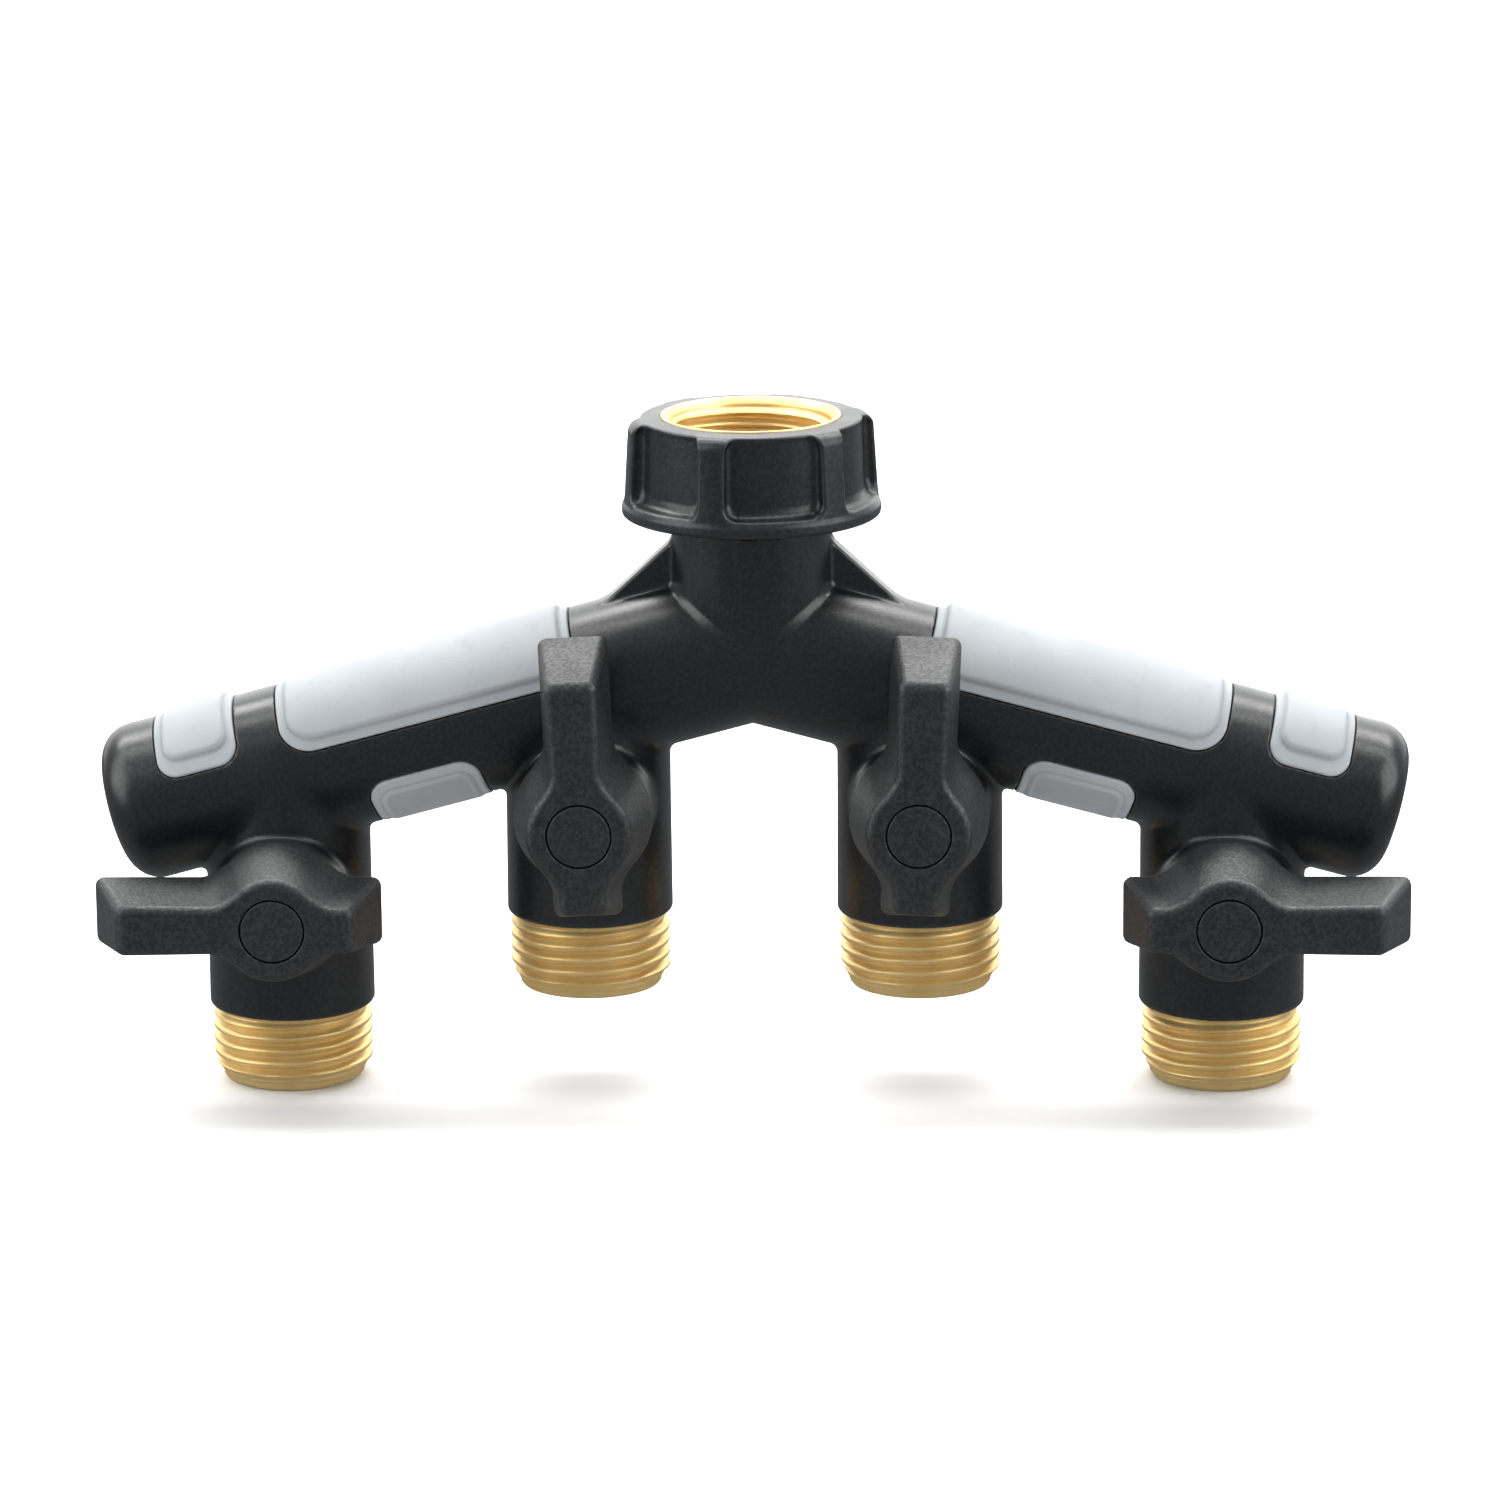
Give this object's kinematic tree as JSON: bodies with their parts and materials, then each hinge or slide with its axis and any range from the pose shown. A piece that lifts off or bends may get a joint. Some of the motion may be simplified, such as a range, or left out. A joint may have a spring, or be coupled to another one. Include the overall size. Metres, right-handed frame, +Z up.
{
  "type": "hose splitter",
  "caption": "Garden hose manifold: a swivel inlet nut feeds two sloping arms whose threaded outlets each have a quarter-turn lever valve.",
  "frame": {"origin": "On the inlet axis, at the middle of the inlet thread's length", "axes": "+Z up along the inlet axis, the way a tap's spout leaves; +X along the row of outlets to the right; the handles face -Y"},
  "size_m": [0.2202, 0.053, 0.1143],
  "materials": {
    "body_plastic": "satin moulded black nylon",
    "nut_plastic": "satin moulded black nylon",
    "handle_plastic": "coarse spark-eroded black plastic",
    "grip_rubber": "soft matt light grey elastomer",
    "brass": "turned satin brass",
    "seal_rubber": "moulded black nitrile rubber",
    "seat_ptfe": "waxy white fluoropolymer",
    "ball_chrome": "polished chrome plate",
    "steel": "plain stainless steel"
  },
  "bodies": {
    "manifold": {"manifold_body": "body_plastic", "arm_end_cap_left": "body_plastic", "arm_end_cap_right": "body_plastic", "long_grip_left": "grip_rubber", "long_grip_right": "grip_rubber", "end_grip_left": "grip_rubber", "end_grip_right": "grip_rubber", "under_grip_left": "grip_rubber", "under_grip_right": "grip_rubber", "inlet_tail": "brass", "tail_oring": "seal_rubber", "inlet_washer": "seal_rubber", "filter_screen": "steel", "outlet_nipple_1": "brass", "outlet_nipple_2": "brass", "outlet_nipple_3": "brass", "outlet_nipple_4": "brass", "nipple_oring_1": "seal_rubber", "nipple_oring_2": "seal_rubber", "nipple_oring_3": "seal_rubber", "nipple_oring_4": "seal_rubber", "upper_seat_1": "seat_ptfe", "upper_seat_2": "seat_ptfe", "upper_seat_3": "seat_ptfe", "upper_seat_4": "seat_ptfe", "lower_seat_1": "seat_ptfe", "lower_seat_2": "seat_ptfe", "lower_seat_3": "seat_ptfe", "lower_seat_4": "seat_ptfe"},
    "coupling": {"coupling_nut": "nut_plastic", "coupling_insert": "brass"},
    "valve_1": {"handle_1": "handle_plastic", "handle_cap_1": "handle_plastic", "handle_screw_1": "steel", "stem_1": "brass", "stem_orings_1": "seal_rubber", "ball_1": "ball_chrome"},
    "valve_2": {"handle_2": "handle_plastic", "handle_cap_2": "handle_plastic", "handle_screw_2": "steel", "stem_2": "brass", "stem_orings_2": "seal_rubber", "ball_2": "ball_chrome"},
    "valve_3": {"handle_3": "handle_plastic", "handle_cap_3": "handle_plastic", "handle_screw_3": "steel", "stem_3": "brass", "stem_orings_3": "seal_rubber", "ball_3": "ball_chrome"},
    "valve_4": {"handle_4": "handle_plastic", "handle_cap_4": "handle_plastic", "handle_screw_4": "steel", "stem_4": "brass", "stem_orings_4": "seal_rubber", "ball_4": "ball_chrome"}
  },
  "joints": [
    {"name": "coupling_swivel", "type": "hinge", "parent": "manifold", "child": "coupling", "pos_m": [0, 0, 0], "axis": [0, 0, 1], "continuous": true},
    {"name": "valve_1_turn", "type": "hinge", "parent": "manifold", "child": "valve_1", "pos_m": [-0.079, 0, -0.0746], "axis": [0, 1, 0], "range_deg": [0, 90]},
    {"name": "valve_2_turn", "type": "hinge", "parent": "manifold", "child": "valve_2", "pos_m": [-0.02795, 0, -0.0584], "axis": [0, -1, 0], "range_deg": [0, 90]},
    {"name": "valve_3_turn", "type": "hinge", "parent": "manifold", "child": "valve_3", "pos_m": [0.02795, 0, -0.0584], "axis": [0, 1, 0], "range_deg": [0, 90]},
    {"name": "valve_4_turn", "type": "hinge", "parent": "manifold", "child": "valve_4", "pos_m": [0.079, 0, -0.0746], "axis": [0, -1, 0], "range_deg": [0, 90]}
  ]
}
